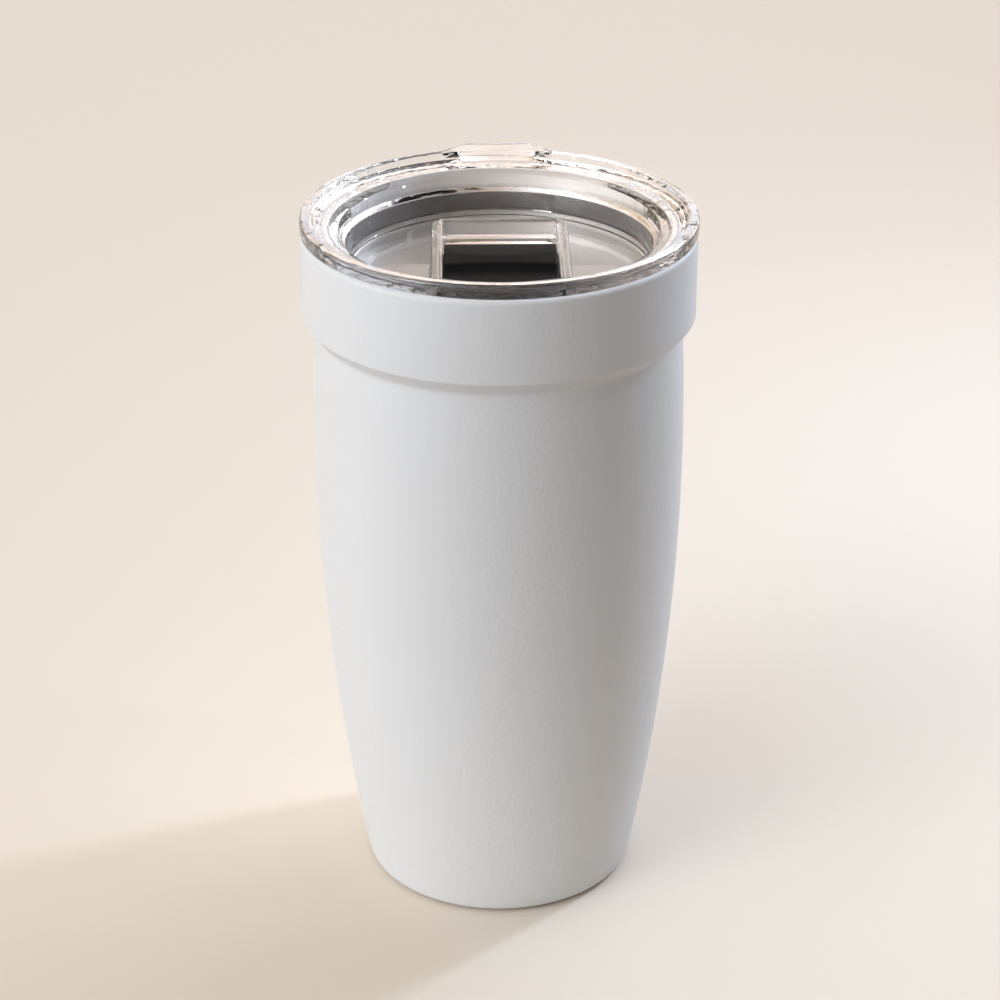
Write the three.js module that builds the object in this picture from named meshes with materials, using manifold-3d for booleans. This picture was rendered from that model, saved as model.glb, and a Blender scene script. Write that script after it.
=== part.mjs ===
// An insulated tumbler with a clear slide-to-open lid, in millimetres, +Z up.
// The origin is the centre of the foot pad's underside. The sip side faces -Y and the lift tab +Y.
import * as THREE from 'three';
import { mergeVertices } from 'three/addons/utils/BufferGeometryUtils.js';
import Module from 'manifold-3d';

const wasm = await Module();
wasm.setup();

// ---- Driving dimensions -------------------------------------------------------------------

const SEGMENTS = 48; // facets round a large turned piece
const SMALL_SEGMENTS = 24;
const FIT_GAP = 0.3; // clearance between neighbouring pieces

// Outer shell: a long side arc, a stepped collar and a hemmed bottom edge.
const SHEET = 0.6; // steel wall thickness
const BELLY_RADIUS = 43.74;
const BELLY_HEIGHT = 113;
const SIDE_ARC_RADIUS = 583;
const SIDE_ARC_BOTTOM = 2.6;
const SHELL_BOTTOM = 0.8;
const COLLAR_RADIUS = 45.84;
const COLLAR_BOTTOM = 147.2;
const BEVEL_BOTTOM = 143.8;
const LIP_HEIGHT = 167.0;
const HEM_RADIUS = 30.2;
const HEM_TOP = 6.2;

// Inner liner, and the discs that close the two walls.
const NECK_RADIUS = 40.0;
const NECK_BOTTOM = 150.5;
const LINER_INSET = 4.0; // from the shell's outside to the liner's inside
const LINER_FLOOR_TOP = 12.6;
const LINER_CORNER_TOP = 22;
const FLOOR_SEAM_RADIUS = 24.0;
const FOIL_THICKNESS = 0.25;
const PLATE_BOTTOM = 6.0;
const DIMPLE_RADIUS = 4.0;
const DIMPLE_RISE = 1.4;
const SEAL_HOLE_RADIUS = 0.7;
const GETTER_X = 14;

// Base.
const COVER_RADIUS = HEM_RADIUS - FIT_GAP;
const PAD_RADIUS = 27.2;
const PAD_THICKNESS = 1.5;

// Lid, with heights measured down from its top plane.
const LID_TOP = 170.7;
const RIM_RADIUS = 46.0;
const RIM_DEPTH = 3.4;
const LAND_INNER_RADIUS = 43.8;
const RING_EDGE_RADIUS = 39.5;
const RING_EDGE_DEPTH = 2.5;
const DISH_RADIUS = 35.0;
const DISH_DEPTH = 13.2;
const PLUG_DEPTH = 15.0;
const GROOVE_RADIUS = 36.9;
const GROOVE_TOP = 7.9;
const GROOVE_BOTTOM = 12.7;

// Lift tab.
const TAB_REACH = 49.6;
const TAB_THICKNESS = 2.6;
const TAB_HALF_WIDTH = 9.9;
const TAB_FOOT_HALF_WIDTH = 14.4;

// Slider housing and the channel in it.
const HOUSING_HALF_WIDTH = 15.6;
const HOUSING_BACK = 3.6;
const HOUSING_CORNER = 5.0;
const CHANNEL_HALF_WIDTH = 13.0;
const CHANNEL_BACK = 1.2;
const CHANNEL_CORNER = 1.6;
const CHANNEL_FRONT_RADIUS = 36.9;
const CHANNEL_DEPTH = 5.6;
const CHANNEL_FLOOR_THICKNESS = 1.6;
const RAIL_GROOVE_HALF_WIDTH = 14.2;
const RAIL_GROOVE_FRONT_RADIUS = CHANNEL_FRONT_RADIUS - 0.4;
const RAIL_GROOVE_TOP = 4.1;
const POCKET_HALF_WIDTH = 13.6;
const POCKET_BACK = 1.6;
const POCKET_FRONT_RADIUS = 35.0;

// Sip opening and vent.
const SIP_HALF_WIDTH = 7.5;
const SIP_BACK = -28.2;
const SIP_FRONT = -33.6;
const VENT_Y = -24.6;
const VENT_RADIUS = 1.1;

// Slider and its seal pad.
const SLIDER_HALF_WIDTH = 12.7;
const SLIDER_BACK = -13.5;
const SLIDER_FRONT_RADIUS = CHANNEL_FRONT_RADIUS - FIT_GAP;
const SLIDER_TOP = 2.2;
const SLIDER_BOTTOM = 5.3;
const RUNNER_TOP = 4.4;
const RUNNER_BACK = -15.0;
const RUNNER_HALF_WIDTH = RAIL_GROOVE_HALF_WIDTH - FIT_GAP;
const SEAL_HALF_WIDTH = 9.9;
const SEAL_BACK = -23.3;
const SEAL_FRONT_RADIUS = 35.6;
const SEAL_TOP = 4.6;
const SEAL_BOTTOM = 5.45;

// ---- Materials ----------------------------------------------------------------------------

const finish = (color, roughness, metalness, opacity = 1) =>
  new THREE.MeshStandardMaterial({ color, roughness, metalness, opacity, transparent: opacity < 1 });

const POWDER_COAT = finish(0xe4e5e6, 0.62, 0);
const BRUSHED_STEEL = finish(0xb9bbbe, 0.35, 1);
const FOIL = finish(0xb87a56, 0.25, 1);
const SOLDER_GLASS = finish(0x3c4a4f, 0.2, 0);
const GETTER_METAL = finish(0x55575a, 0.8, 0.6);
const CLEAR_PLASTIC = finish(0xe6dfdb, 0.05, 0, 0.35);
const GREY_SILICONE = finish(0x6f6a67, 0.55, 0);
const BLACK_PLASTIC = finish(0x18181a, 0.5, 0);
const BLACK_SILICONE = finish(0x101012, 0.7, 0);

// ---- Geometry helpers -----------------------------------------------------------------------

// Turns a closed [radius, height] outline about the Z axis.
function turn(outline, segments = SEGMENTS) {
  const points = outline.map(([radius, height]) => new THREE.Vector2(radius, height));
  if (THREE.ShapeUtils.area(points) < 0) points.reverse();
  const onAxis = points.filter((point) => point.x === 0).length > 1;
  if (onAxis) {
    while (points[0].x !== 0 || points.at(-1).x !== 0) points.push(points.shift());
  } else {
    points.push(points[0].clone());
  }
  return new THREE.LatheGeometry(points, segments).rotateX(Math.PI / 2);
}

// Outline of sheet metal: a path along one face, and the same path offset to its left.
function sheetOutline(path, thickness) {
  const offset = path.map(([radius, height], i) => {
    const [r0, z0] = path[Math.max(i - 1, 0)];
    const [r1, z1] = path[Math.min(i + 1, path.length - 1)];
    const length = Math.hypot(r1 - r0, z1 - z0);
    return [radius - ((z1 - z0) / length) * thickness, height + ((r1 - r0) / length) * thickness];
  });
  return [...path, ...offset.reverse()];
}

// Points of a circular arc in a turned outline, angles in degrees.
function arc(centreRadius, centreHeight, radius, startDegrees, endDegrees, steps) {
  return Array.from({ length: steps + 1 }, (_, i) => {
    const angle = THREE.MathUtils.degToRad(THREE.MathUtils.lerp(startDegrees, endDegrees, i / steps));
    return [centreRadius + radius * Math.cos(angle), centreHeight + radius * Math.sin(angle)];
  });
}

// Extrudes a plan shape upwards from one depth to another, both measured down from the lid's top.
function slab(shape, bottomDepth, topDepth, curveSegments = 6) {
  const depth = bottomDepth - topDepth;
  const geometry = new THREE.ExtrudeGeometry(shape, { depth, bevelEnabled: false, curveSegments });
  return geometry.translate(0, 0, LID_TOP - bottomDepth);
}

function toSolid(geometry) {
  const bare = geometry.clone();
  bare.deleteAttribute('normal');
  bare.deleteAttribute('uv');
  const welded = mergeVertices(bare, 1e-4);
  const vertProperties = new Float32Array(welded.attributes.position.array);
  const triVerts = new Uint32Array(welded.index.array);
  return new wasm.Manifold(new wasm.Mesh({ numProp: 3, vertProperties, triVerts }));
}

function toGeometry(solid) {
  const { vertProperties, triVerts } = solid.getMesh();
  const geometry = new THREE.BufferGeometry();
  geometry.setAttribute('position', new THREE.BufferAttribute(vertProperties, 3));
  geometry.setIndex(new THREE.BufferAttribute(triVerts, 1));
  return geometry;
}

// ---- Plan shapes ----------------------------------------------------------------------------

// The slider's tongue shape: straight sides, a straight back with round corners, and an arc in front.
function tongue(halfWidth, back, frontRadius, corner) {
  const frontAngle = Math.asin(halfWidth / frontRadius);
  const shape = new THREE.Shape();
  shape.absarc(0, 0, frontRadius, -Math.PI / 2 - frontAngle, -Math.PI / 2 + frontAngle, false);
  shape.absarc(halfWidth - corner, back - corner, corner, 0, Math.PI / 2, false);
  shape.absarc(corner - halfWidth, back - corner, corner, Math.PI / 2, Math.PI, false);
  shape.closePath();
  return shape;
}

function roundedBox(halfWidth, front, back, corner) {
  const shape = new THREE.Shape();
  shape.absarc(halfWidth - corner, front + corner, corner, -Math.PI / 2, 0, false);
  shape.absarc(halfWidth - corner, back - corner, corner, 0, Math.PI / 2, false);
  shape.absarc(corner - halfWidth, back - corner, corner, Math.PI / 2, Math.PI, false);
  shape.absarc(corner - halfWidth, front + corner, corner, Math.PI, 1.5 * Math.PI, false);
  shape.closePath();
  return shape;
}

function disc(x, y, radius) {
  const shape = new THREE.Shape();
  shape.absarc(x, y, radius, 0, 2 * Math.PI, false);
  return shape;
}

// The lift tab: a block across the drinking ring that swells out past the rim on S-shaped shoulders.
function tabShape() {
  const block = RING_EDGE_RADIUS + 0.6;
  const foot = Math.sqrt((RIM_RADIUS - 0.6) ** 2 - TAB_FOOT_HALF_WIDTH ** 2);
  const tip = 7.2;
  const shape = new THREE.Shape();
  shape.moveTo(-TAB_HALF_WIDTH, block);
  shape.lineTo(TAB_HALF_WIDTH, block);
  shape.lineTo(TAB_HALF_WIDTH, foot);
  shape.lineTo(TAB_FOOT_HALF_WIDTH, foot);
  shape.bezierCurveTo(11.4, foot + 1.6, 11.2, TAB_REACH - 0.4, tip, TAB_REACH);
  shape.lineTo(-tip, TAB_REACH);
  shape.bezierCurveTo(-11.2, TAB_REACH - 0.4, -11.4, foot + 1.6, -TAB_FOOT_HALF_WIDTH, foot);
  shape.lineTo(-TAB_HALF_WIDTH, foot);
  shape.closePath();
  return shape;
}

// ---- Cup --------------------------------------------------------------------------------------

function sideRadius(height) {
  const rise = height - BELLY_HEIGHT;
  return BELLY_RADIUS - (SIDE_ARC_RADIUS - Math.sqrt(SIDE_ARC_RADIUS ** 2 - rise ** 2));
}

function sidePath(bottom, top, steps, inset) {
  return Array.from({ length: steps + 1 }, (_, i) => {
    const height = THREE.MathUtils.lerp(bottom, top, i / steps);
    return [sideRadius(height) - inset, height];
  });
}

function outerShell() {
  const bottomCorner = 1.8;
  const bottomRadius = sideRadius(SIDE_ARC_BOTTOM) - bottomCorner;
  return turn(sheetOutline([
    [HEM_RADIUS, HEM_TOP],
    [HEM_RADIUS, SHELL_BOTTOM + 0.8],
    [HEM_RADIUS + 0.8, SHELL_BOTTOM],
    ...arc(bottomRadius, SHELL_BOTTOM + bottomCorner, bottomCorner, -90, -25, 2),
    ...sidePath(SIDE_ARC_BOTTOM, BEVEL_BOTTOM, 7, 0),
    [COLLAR_RADIUS, COLLAR_BOTTOM],
    ...arc(COLLAR_RADIUS - 1, LIP_HEIGHT - 1, 1, 0, 90, 2),
    [NECK_RADIUS + 1.6, LIP_HEIGHT],
  ], SHEET));
}

function innerLiner() {
  const corner = 8;
  const wallRadius = sideRadius(LINER_CORNER_TOP) - LINER_INSET;
  return turn(sheetOutline([
    [NECK_RADIUS + 1.3, LIP_HEIGHT],
    ...arc(NECK_RADIUS + 0.6, LIP_HEIGHT - 0.6, 0.6, 90, 180, 2),
    [NECK_RADIUS, NECK_BOTTOM],
    ...sidePath(LINER_CORNER_TOP, NECK_BOTTOM - 3, 5, LINER_INSET).reverse(),
    ...arc(wallRadius - corner - 0.5, LINER_FLOOR_TOP + corner, corner, -12, -90, 3),
    [FLOOR_SEAM_RADIUS, LINER_FLOOR_TOP],
  ], SHEET));
}

function linerFloor() {
  const edge = FLOOR_SEAM_RADIUS - FIT_GAP;
  return turn(sheetOutline([[edge, LINER_FLOOR_TOP], [18, LINER_FLOOR_TOP], [12, 13.1], [0, 13.3]], SHEET));
}

function foilWrap() {
  const inset = LINER_INSET - SHEET - 0.6;
  return turn(sheetOutline(sidePath(24, 138, 4, inset).reverse(), FOIL_THICKNESS));
}

// The disc that closes the vacuum, with a raised dimple round its evacuation hole.
function vacuumPlate() {
  const edge = HEM_RADIUS - FIT_GAP;
  return turn([
    [SEAL_HOLE_RADIUS, PLATE_BOTTOM + DIMPLE_RISE],
    [DIMPLE_RADIUS - 1, PLATE_BOTTOM + DIMPLE_RISE],
    [DIMPLE_RADIUS, PLATE_BOTTOM],
    [edge, PLATE_BOTTOM],
    [edge, PLATE_BOTTOM + SHEET],
    [DIMPLE_RADIUS + 0.3, PLATE_BOTTOM + SHEET],
    [DIMPLE_RADIUS - 0.7, PLATE_BOTTOM + DIMPLE_RISE + SHEET],
    [SEAL_HOLE_RADIUS, PLATE_BOTTOM + DIMPLE_RISE + SHEET],
  ]);
}

function vacuumSeal() {
  const top = PLATE_BOTTOM + DIMPLE_RISE;
  return turn([[0, top], [2.4, top], [2.6, top - 0.5], [1.6, top - 1.2], [0, top - 1.4]], SMALL_SEGMENTS);
}

function getter() {
  const bottom = PLATE_BOTTOM + SHEET + 0.5;
  const top = bottom + 2.4;
  return turn([[0, bottom], [4, bottom], [4, top - 0.4], [3.6, top], [0, top]], SMALL_SEGMENTS);
}

// A stamped cup with a flat floor that grips the getter's side.
function getterClip() {
  const bottom = PLATE_BOTTOM + SHEET;
  return turn([
    [0, bottom],
    [6.2, bottom],
    [6.2, bottom + 0.3],
    [4.6, bottom + 0.3],
    [4.6, bottom + 2],
    [4.2, bottom + 2],
    [4.2, bottom + 0.3],
    [0, bottom + 0.3],
  ], SMALL_SEGMENTS);
}

function baseCover() {
  const ringBottom = SHELL_BOTTOM + 0.1;
  return turn([
    [0, PAD_THICKNESS],
    [PAD_RADIUS + FIT_GAP, PAD_THICKNESS],
    [PAD_RADIUS + FIT_GAP, ringBottom],
    [COVER_RADIUS - 0.3, ringBottom],
    [COVER_RADIUS, ringBottom + 0.3],
    [COVER_RADIUS, 3.8],
    [COVER_RADIUS - SHEET, 3.8],
    [COVER_RADIUS - SHEET, PAD_THICKNESS + SHEET],
    [0, PAD_THICKNESS + SHEET],
  ]);
}

function footPad() {
  return turn([[0, 0], [PAD_RADIUS - 0.6, 0], [PAD_RADIUS, 0.6], [PAD_RADIUS, PAD_THICKNESS], [0, PAD_THICKNESS]]);
}

// ---- Lid --------------------------------------------------------------------------------------

// Turns an outline of [radius, depth] points, with depths measured down from the lid's top.
function turnDown(outline) {
  return turn(outline.map(([radius, depth]) => [radius, LID_TOP - depth]));
}

// Rim, concave drinking ring, stepped wall, dish and grooved plug in one moulding.
function lidBowl() {
  return turnDown([
    [0, PLUG_DEPTH],
    [36.8, PLUG_DEPTH],
    [37.6, 14.2],
    [38.3, GROOVE_BOTTOM],
    [GROOVE_RADIUS, GROOVE_BOTTOM],
    [GROOVE_RADIUS, GROOVE_TOP],
    [39.3, GROOVE_TOP],
    [39.6, RIM_DEPTH],
    [RIM_RADIUS - 0.5, RIM_DEPTH],
    [RIM_RADIUS, RIM_DEPTH - 0.5],
    [RIM_RADIUS, 0.7],
    [RIM_RADIUS - 0.7, 0],
    [LAND_INNER_RADIUS, 0],
    [42.9, 1.1],
    [41.4, 2.1],
    [RING_EDGE_RADIUS, RING_EDGE_DEPTH],
    [37.2, 3.7],
    [35.3, 7.2],
    [DISH_RADIUS, DISH_DEPTH - 0.8],
    [DISH_RADIUS - 0.8, DISH_DEPTH],
    [0, DISH_DEPTH],
  ]);
}

// The raised housing, cut off inside the plug's wall so that it blends into the ring.
function housingBlock() {
  const block = slab(roundedBox(HOUSING_HALF_WIDTH, -40, HOUSING_BACK, HOUSING_CORNER), PLUG_DEPTH, RING_EDGE_DEPTH);
  const limit = turnDown([
    [0, PLUG_DEPTH],
    [GROOVE_RADIUS - 0.6, PLUG_DEPTH],
    [GROOVE_RADIUS - 0.6, 4.2],
    [RING_EDGE_RADIUS - 0.1, RING_EDGE_DEPTH],
    [0, RING_EDGE_DEPTH],
  ]);
  return toSolid(block).intersect(toSolid(limit));
}

function lidBody() {
  const channel = tongue(CHANNEL_HALF_WIDTH, CHANNEL_BACK, CHANNEL_FRONT_RADIUS, CHANNEL_CORNER);
  const railGrooves = tongue(RAIL_GROOVE_HALF_WIDTH, CHANNEL_BACK - 0.4, RAIL_GROOVE_FRONT_RADIUS, 1.5);
  const pocket = tongue(POCKET_HALF_WIDTH, POCKET_BACK, POCKET_FRONT_RADIUS, 3);
  const pocketTop = CHANNEL_DEPTH + CHANNEL_FLOOR_THICKNESS;
  const cuts = [
    slab(channel, CHANNEL_DEPTH, -1),
    slab(railGrooves, CHANNEL_DEPTH, RAIL_GROOVE_TOP),
    slab(pocket, PLUG_DEPTH + 1, pocketTop),
    slab(roundedBox(SIP_HALF_WIDTH, SIP_FRONT, SIP_BACK, 2.4), pocketTop + 1, CHANNEL_DEPTH - 1),
    slab(disc(0, VENT_Y, VENT_RADIUS), pocketTop + 1, CHANNEL_DEPTH - 1),
  ];
  let solid = toSolid(lidBowl()).add(housingBlock()).add(toSolid(slab(tabShape(), TAB_THICKNESS, 0)));
  for (const cut of cuts) solid = solid.subtract(toSolid(cut));
  return toGeometry(solid);
}

// A ring with three thin lips that press on the liner's neck.
function lidGasket() {
  const inner = GROOVE_RADIUS + FIT_GAP;
  const root = 38.7;
  const lip = NECK_RADIUS - FIT_GAP;
  const lipDepths = [8.85, 10.3, 11.75];
  const outside = lipDepths.flatMap((depth) => [[root, depth - 0.5], [lip, depth], [root, depth + 0.4]]);
  return turnDown([[inner, GROOVE_TOP + 0.2], ...outside, [root, GROOVE_BOTTOM - 0.2], [inner, GROOVE_BOTTOM - 0.2]]);
}

// Side view of the slider's top: a crowned rear land, then a thumb scoop towards the front.
function sliderSide() {
  const side = new THREE.Shape([
    [-37, 5.5], [-13, 5.5], [-13, 3.2], [-14.1, 2.5], [-22, SLIDER_TOP], [-25, 2.5],
    [-27, 3.4], [-30, 3.9], [-37, 3.9],
  ].map(([y, depth]) => new THREE.Vector2(y, LID_TOP - depth)));
  const width = 2 * SLIDER_HALF_WIDTH + 2;
  const geometry = new THREE.ExtrudeGeometry(side, { depth: width, bevelEnabled: false });
  // The drawing's axes are Y and Z, so its extrusion is turned to run along X.
  const axes = new THREE.Matrix4().set(0, 0, 1, -width / 2, 1, 0, 0, 0, 0, 1, 0, 0, 0, 0, 0, 1);
  return geometry.applyMatrix4(axes);
}

function slider() {
  const outline = tongue(SLIDER_HALF_WIDTH, SLIDER_BACK, SLIDER_FRONT_RADIUS, 1.2);
  const runners = tongue(RUNNER_HALF_WIDTH, RUNNER_BACK, RAIL_GROOVE_FRONT_RADIUS - FIT_GAP, 1.2);
  const sealPocket = tongue(SEAL_HALF_WIDTH + FIT_GAP, SEAL_BACK + FIT_GAP, SEAL_FRONT_RADIUS + FIT_GAP, 1.2);
  const rearHollow = roundedBox(11.2, -22, SLIDER_BACK - 1.2, 1);
  const body = toSolid(slab(outline, SLIDER_BOTTOM, 1)).intersect(toSolid(sliderSide()));
  const solid = body
    .add(toSolid(slab(runners, SLIDER_BOTTOM, RUNNER_TOP)))
    .subtract(toSolid(slab(sealPocket, SLIDER_BOTTOM + 1, SEAL_TOP)))
    .subtract(toSolid(slab(rearHollow, SLIDER_BOTTOM + 1, 3.5)));
  return toGeometry(solid);
}

function sliderSeal() {
  return slab(tongue(SEAL_HALF_WIDTH, SEAL_BACK, SEAL_FRONT_RADIUS, 1), SEAL_BOTTOM, SEAL_TOP);
}

// ---- Assembly -----------------------------------------------------------------------------------

const group = new THREE.Group();

function add(name, geometry, material, x = 0) {
  const mesh = new THREE.Mesh(geometry, material);
  mesh.name = name;
  mesh.position.x = x;
  group.add(mesh);
}

add('outer_shell', outerShell(), POWDER_COAT);
add('inner_liner', innerLiner(), BRUSHED_STEEL);
add('liner_floor', linerFloor(), BRUSHED_STEEL);
add('foil_wrap', foilWrap(), FOIL);
add('vacuum_plate', vacuumPlate(), BRUSHED_STEEL);
add('vacuum_seal', vacuumSeal(), SOLDER_GLASS);
add('getter', getter(), GETTER_METAL, GETTER_X);
add('getter_clip', getterClip(), BRUSHED_STEEL, GETTER_X);
add('base_cover', baseCover(), BRUSHED_STEEL);
add('foot_pad', footPad(), BLACK_SILICONE);
add('lid_body', lidBody(), CLEAR_PLASTIC);
add('lid_gasket', lidGasket(), GREY_SILICONE);
add('slider', slider(), BLACK_PLASTIC);
add('slider_seal', sliderSeal(), BLACK_SILICONE);

export default group;
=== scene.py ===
"""The looks of an insulated steel tumbler with a clear slide lid, built round its CAD frame.

Lengths of the object are in millimetres and become metres where a mesh is made. Heights in the cup are
measured up from the table, and depths in the lid are measured down from the lid's top plane. Turned
parts are lists of (radius, height) corners, with the corner's rounding as a third number. The studio
and the materials are in metres, as Blender has them.
"""

from math import asin, cos, degrees, hypot, pi, radians, sin, sqrt, tan

import bmesh
import bpy
from mathutils import Matrix, Vector


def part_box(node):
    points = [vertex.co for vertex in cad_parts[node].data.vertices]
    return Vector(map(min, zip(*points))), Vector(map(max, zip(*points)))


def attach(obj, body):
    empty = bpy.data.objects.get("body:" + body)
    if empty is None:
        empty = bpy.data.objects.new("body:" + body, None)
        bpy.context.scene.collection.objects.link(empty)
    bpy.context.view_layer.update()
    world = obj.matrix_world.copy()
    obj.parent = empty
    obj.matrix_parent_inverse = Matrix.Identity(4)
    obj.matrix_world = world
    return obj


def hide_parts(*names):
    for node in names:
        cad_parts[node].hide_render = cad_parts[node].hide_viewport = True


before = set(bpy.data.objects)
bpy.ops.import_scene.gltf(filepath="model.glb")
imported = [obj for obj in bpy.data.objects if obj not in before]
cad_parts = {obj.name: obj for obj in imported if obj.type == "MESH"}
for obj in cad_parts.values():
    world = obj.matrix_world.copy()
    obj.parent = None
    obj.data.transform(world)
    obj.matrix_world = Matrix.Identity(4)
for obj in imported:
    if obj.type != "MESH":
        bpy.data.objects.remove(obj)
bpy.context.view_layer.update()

MM = 0.001


def span(node):
    """Lowest and highest corner of a CAD node, in millimetres."""
    low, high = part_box(node)
    return low / MM, high / MM


# ---- Driving dimensions, read from the frame where it has them -----------------------------------

SHELL_LOW, SHELL_HIGH = span("outer_shell")
LID_LOW, LID_HIGH = span("lid_body")
LINER_LOW = span("inner_liner")[0]
PAD_HIGH = span("foot_pad")[1]
COVER_LOW, COVER_HIGH = span("base_cover")
PLATE_LOW, PLATE_HIGH = span("vacuum_plate")
GETTER_LOW, GETTER_HIGH = span("getter")
GASKET_LOW, GASKET_HIGH = span("lid_gasket")
SLIDER_LOW, SLIDER_HIGH = span("slider")
SEAL_LOW, SEAL_HIGH = span("slider_seal")

SEGMENTS = 256  # round a large turned part
SMALL_SEGMENTS = 64
SHEET = 0.5  # steel wall thickness

# Outer shell: a barrel whose side is an arc, widest at the belly, under a straight collar.
COLLAR_RADIUS = SHELL_HIGH.x
LIP_HEIGHT = SHELL_HIGH.z
SHELL_BOTTOM = SHELL_LOW.z
FOOT_HEIGHT = 2.4
BELLY_RADIUS = 43.74
BELLY_HEIGHT = 113
SIDE_ARC_RADIUS = 583
COLLAR_BOTTOM = 147.2
BEVEL_BOTTOM = 143.8
HEM_RADIUS = PLATE_HIGH.x + 0.3

# Inner liner and what is in the vacuum gap.
NECK_RADIUS = 40.0
NECK_BOTTOM = 150.5
LINER_INSET = 4.0
LINER_FLOOR = LINER_LOW.z + 0.6
FLOOR_SEAM_RADIUS = 24.0
FLOOR_CENTRE_HEIGHT = 13.25
FOIL_BOTTOM = 24
FOIL_TOP = 138
FOIL_GAP = 1.2
FOIL_THICKNESS = 0.15
DIMPLE_RISE = 1.4
GETTER_X = (GETTER_LOW.x + GETTER_HIGH.x) / 2

# Lid.
LID_TOP = LID_HIGH.z
RIM_RADIUS = LID_HIGH.x
RIM_DEPTH = 3.4
LAND_INNER_RADIUS = 43.8
RING_EDGE_RADIUS = 39.5
RING_EDGE_DEPTH = 2.5
DISH_RADIUS = 35.0
DISH_DEPTH = 13.2
PLUG_DEPTH = LID_TOP - LID_LOW.z
GROOVE_RADIUS = GASKET_HIGH.x - 2.8
GROOVE_TOP = LID_TOP - GASKET_HIGH.z - 0.2
GROOVE_BOTTOM = LID_TOP - GASKET_LOW.z + 0.2
GASKET_ROOT_RADIUS = 38.7
GASKET_LIP_DEPTHS = (8.85, 10.3, 11.75)

TAB_REACH = LID_HIGH.y
TAB_THICKNESS = 2.6
TAB_HALF_WIDTH = 9.9
TAB_FOOT_HALF_WIDTH = 14.4

HOUSING_HALF_WIDTH = 15.6
HOUSING_BACK = 3.6
CHANNEL_HALF_WIDTH = 13.0
CHANNEL_BACK = 1.2
CHANNEL_FRONT_RADIUS = -SLIDER_LOW.y + 0.3
CHANNEL_DEPTH = 5.6
CHANNEL_FLOOR_THICKNESS = 1.6
RAIL_GROOVE = 1.2  # reach of the grooves beyond the channel's sides

# Slider: a crowned land behind a bowed crease, a slope, and a thumb scoop in front.
SLIDER_HALF_WIDTH = 12.7
SLIDER_BACK = SLIDER_HIGH.y
SLIDER_FRONT_RADIUS = -SLIDER_LOW.y
SLIDER_BOTTOM = LID_TOP - SLIDER_LOW.z
SLIDER_CORNER = 1.2
CREASE_Y = -22.0
CREASE_RADIUS = 29.0
SCOOP_Y = -25.2
SCOOP_BOW = 0.006
SCOOP_LENGTH = 4.2
LAND_DEPTH = 2.22
LAND_CROWN = 0.32
SLOPE_DROP = 0.4
SCOOP_DROP = 1.35
EDGE_ROUND = 0.55


# ---- Outline helpers ------------------------------------------------------------------------------

def fillet(previous, corner, following, radius, steps=6):
    """Points of the arc that rounds a corner of an outline, with a smaller radius where it doesn't fit."""
    here = Vector(corner)
    before = Vector(previous) - here
    after = Vector(following) - here
    angle = before.angle(after)
    if radius <= 0 or angle > pi - 0.02:
        return [tuple(here)]
    reach = min(radius / tan(angle / 2), 0.48 * before.length, 0.48 * after.length)
    start = here + before.normalized() * reach
    end = here + after.normalized() * reach
    centre = here + (before.normalized() + after.normalized()).normalized() * reach / cos(angle / 2)
    first, last = start - centre, end - centre
    turn = first.angle_signed(last)
    points = []
    for i in range(steps + 1):
        spoke = first.copy()
        spoke.rotate(Matrix.Rotation(-turn * i / steps, 2))
        points.append(tuple(centre + spoke))
    return points


def rounded(corners, closed=True):
    """An outline from (x, y) or (x, y, radius) corners, each rounded by its radius."""
    points = []
    count = len(corners)
    for i, corner in enumerate(corners):
        radius = corner[2] if len(corner) > 2 else 0
        at_end = not closed and i in (0, count - 1)
        if at_end or corner[0] == 0:
            points.append(tuple(corner[:2]))
        else:
            before, after = corners[i - 1][:2], corners[(i + 1) % count][:2]
            points += fillet(before, corner[:2], after, radius)
    return points


def sheet(path, thickness=SHEET):
    """Closed outline of sheet metal: a path along one face, and the same path offset to its left."""
    offset = []
    for i, (r, z) in enumerate(path):
        r0, z0 = path[max(i - 1, 0)]
        r1, z1 = path[min(i + 1, len(path) - 1)]
        length = hypot(r1 - r0, z1 - z0)
        offset.append((r - (z1 - z0) / length * thickness, z + (r1 - r0) / length * thickness))
    return path + offset[::-1]


def down(outline):
    """Turns depths below the lid's top plane into heights."""
    return [(r, LID_TOP - depth, *rest) for r, depth, *rest in outline]


def arc_points(cx, cy, radius, start, end, steps):
    """Points of a circular arc, angles in degrees."""
    angles = [radians(start + (end - start) * i / steps) for i in range(steps + 1)]
    return [(cx + radius * cos(a), cy + radius * sin(a)) for a in angles]


def tongue(half_width, back, front_radius, corner, steps=8):
    """Plan of the slider and its channel: straight sides, a back with round corners and an arc in front."""
    def outline(inset=0.0):
        half = half_width - inset
        radius = front_radius - inset
        round_by = max(corner - inset, 0.05)
        swing = degrees(asin(half / radius))
        return (
            arc_points(0, 0, radius, -90 - swing, -90 + swing, 24)
            + arc_points(half - round_by, back - inset - round_by, round_by, 0, 90, steps)
            + arc_points(round_by - half, back - inset - round_by, round_by, 90, 180, steps)
        )
    return outline


def rounded_box(half_width, front, back, corner, steps=8):
    """Plan of a rectangle with round corners."""
    def outline(inset=0.0):
        half = half_width - inset
        round_by = max(corner - inset, 0.05)
        low, high = front + inset + round_by, back - inset - round_by
        side = half - round_by
        points = []
        for quarter, (cx, cy) in enumerate(((side, low), (side, high), (-side, high), (-side, low))):
            points += arc_points(cx, cy, round_by, 90 * quarter - 90, 90 * quarter, steps)
        return points
    return outline


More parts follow.
